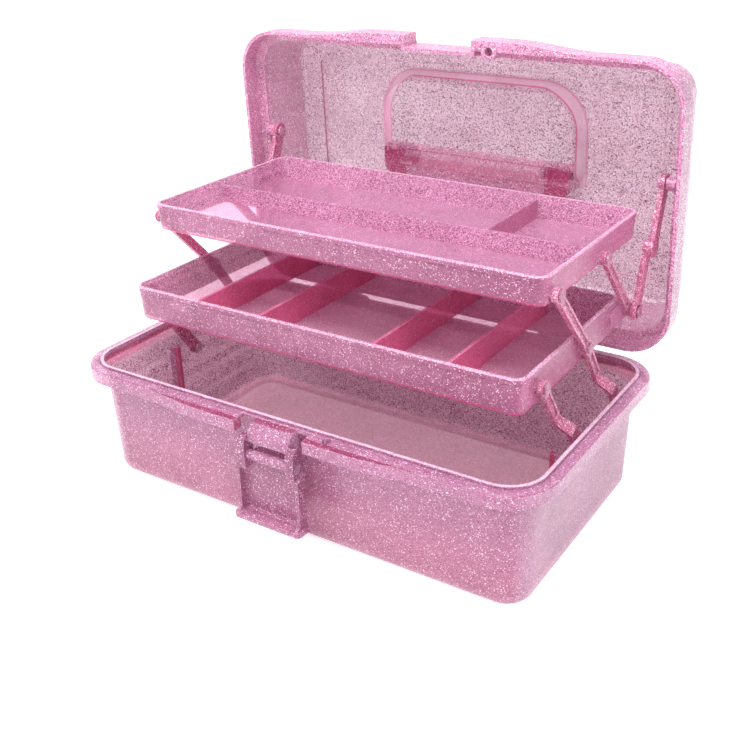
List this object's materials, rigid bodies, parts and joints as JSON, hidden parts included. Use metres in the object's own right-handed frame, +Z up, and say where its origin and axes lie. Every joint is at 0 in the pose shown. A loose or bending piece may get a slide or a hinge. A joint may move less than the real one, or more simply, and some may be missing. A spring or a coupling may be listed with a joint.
{
  "type": "three tier storage box",
  "caption": "Portable storage box with a hinged lid, folding carry handle, front latch and two trays that lift and spread as the lid opens.",
  "frame": {"origin": "centre of the flat underside of the base", "axes": "+X to the right along the length, +Y to the back where the lid hinges, +Z up"},
  "size_m": [0.32, 0.2575, 0.2631],
  "materials": {
    "shell": "translucent pink with dense glitter",
    "lid": "translucent pale pink with dense glitter",
    "handle": "pink with glitter",
    "latch": "translucent pink with glitter",
    "tray": "translucent pink with dense glitter",
    "divider": "smooth translucent deep pink",
    "arm": "smooth translucent crimson pink",
    "pin": "deep pink plastic"
  },
  "bodies": {
    "base": {"base_tub": "shell", "hinge_pin_left": "pin", "hinge_pin_right": "pin"},
    "lid": {"lid_shell": "lid", "handle_pin_left": "pin", "handle_pin_right": "pin"},
    "handle": {"carry_handle": "handle"},
    "latch": {"latch": "latch"},
    "lower_tray": {"lower_tray": "tray", "tray_divider_1": "divider", "tray_divider_2": "divider", "tray_divider_3": "divider", "tray_divider_4": "divider"},
    "upper_tray": {"upper_tray": "tray"},
    "front_arm_left": {"front_arm_left": "arm"},
    "front_arm_right": {"front_arm_right": "arm"},
    "long_arm_left": {"long_arm_left": "arm"},
    "long_arm_right": {"long_arm_right": "arm"},
    "rear_link_left": {"rear_link_left": "arm"},
    "rear_link_right": {"rear_link_right": "arm"},
    "lid_link_left": {"lid_link_left": "arm"},
    "lid_link_right": {"lid_link_right": "arm"}
  },
  "joints": [
    {"name": "lid_hinge", "type": "hinge", "parent": "base", "child": "lid", "pos_m": [0, 0.0935, 0.0744], "axis": [1, 0, 0], "range_deg": [0, 88.5]},
    {"name": "front_arm_left_foot", "type": "hinge", "parent": "base", "child": "front_arm_left", "pos_m": [0, 0.0032, 0.0551], "axis": [1, 0, 0], "range_deg": [0, 30.11]},
    {"name": "front_arm_right_foot", "type": "hinge", "parent": "base", "child": "front_arm_right", "pos_m": [0, 0.0032, 0.0551], "axis": [1, 0, 0], "range_deg": [0, 30.11]},
    {"name": "long_arm_left_foot", "type": "hinge", "parent": "base", "child": "long_arm_left", "pos_m": [0, 0.0602, 0.0551], "axis": [1, 0, 0], "range_deg": [0, 30.11]},
    {"name": "long_arm_right_foot", "type": "hinge", "parent": "base", "child": "long_arm_right", "pos_m": [0, 0.0602, 0.0551], "axis": [1, 0, 0], "range_deg": [0, 30.11]},
    {"name": "lower_tray_pivot", "type": "hinge", "parent": "front_arm_left", "child": "lower_tray", "pos_m": [0, -0.0357, 0.1117], "axis": [1, 0, 0], "range_deg": [-30.11, 0]},
    {"name": "upper_tray_pivot", "type": "hinge", "parent": "long_arm_left", "child": "upper_tray", "pos_m": [0, -0.0212, 0.1582], "axis": [1, 0, 0], "range_deg": [-30.11, 0]},
    {"name": "rear_link_left_pivot", "type": "hinge", "parent": "lower_tray", "child": "rear_link_left", "pos_m": [0, 0.084, 0.1116], "axis": [1, 0, 0], "range_deg": [0, 30.11]},
    {"name": "rear_link_right_pivot", "type": "hinge", "parent": "lower_tray", "child": "rear_link_right", "pos_m": [0, 0.084, 0.1116], "axis": [1, 0, 0], "range_deg": [0, 30.11]},
    {"name": "lid_link_left_pivot", "type": "hinge", "parent": "lid", "child": "lid_link_left", "pos_m": [0, 0.1107, 0.1848], "axis": [1, 0, 0], "range_deg": [0, 14.21]},
    {"name": "lid_link_right_pivot", "type": "hinge", "parent": "lid", "child": "lid_link_right", "pos_m": [0, 0.1107, 0.1848], "axis": [1, 0, 0], "range_deg": [0, 14.21]},
    {"name": "latch_pivot", "type": "hinge", "parent": "base", "child": "latch", "pos_m": [0, -0.0945, 0.058], "axis": [-1, 0, 0], "range_deg": [0, 180]},
    {"name": "handle_pivot", "type": "hinge", "parent": "lid", "child": "handle", "pos_m": [0, 0.14813, 0.16936], "axis": [-1, 0, 0], "range_deg": [0, 90]}
  ],
  "couplings": [
    {"joint": "front_arm_left_foot", "follows": "lid_hinge", "ratio": 0.3396},
    {"joint": "front_arm_right_foot", "follows": "lid_hinge", "ratio": 0.3396},
    {"joint": "long_arm_left_foot", "follows": "lid_hinge", "ratio": 0.3396},
    {"joint": "long_arm_right_foot", "follows": "lid_hinge", "ratio": 0.3396},
    {"joint": "lower_tray_pivot", "follows": "lid_hinge", "ratio": -0.3396},
    {"joint": "upper_tray_pivot", "follows": "lid_hinge", "ratio": -0.3396},
    {"joint": "rear_link_left_pivot", "follows": "lid_hinge", "ratio": 0.3396},
    {"joint": "rear_link_right_pivot", "follows": "lid_hinge", "ratio": 0.3396},
    {"joint": "lid_link_left_pivot", "follows": "lid_hinge", "ratio": 0.16},
    {"joint": "lid_link_right_pivot", "follows": "lid_hinge", "ratio": 0.16}
  ]
}
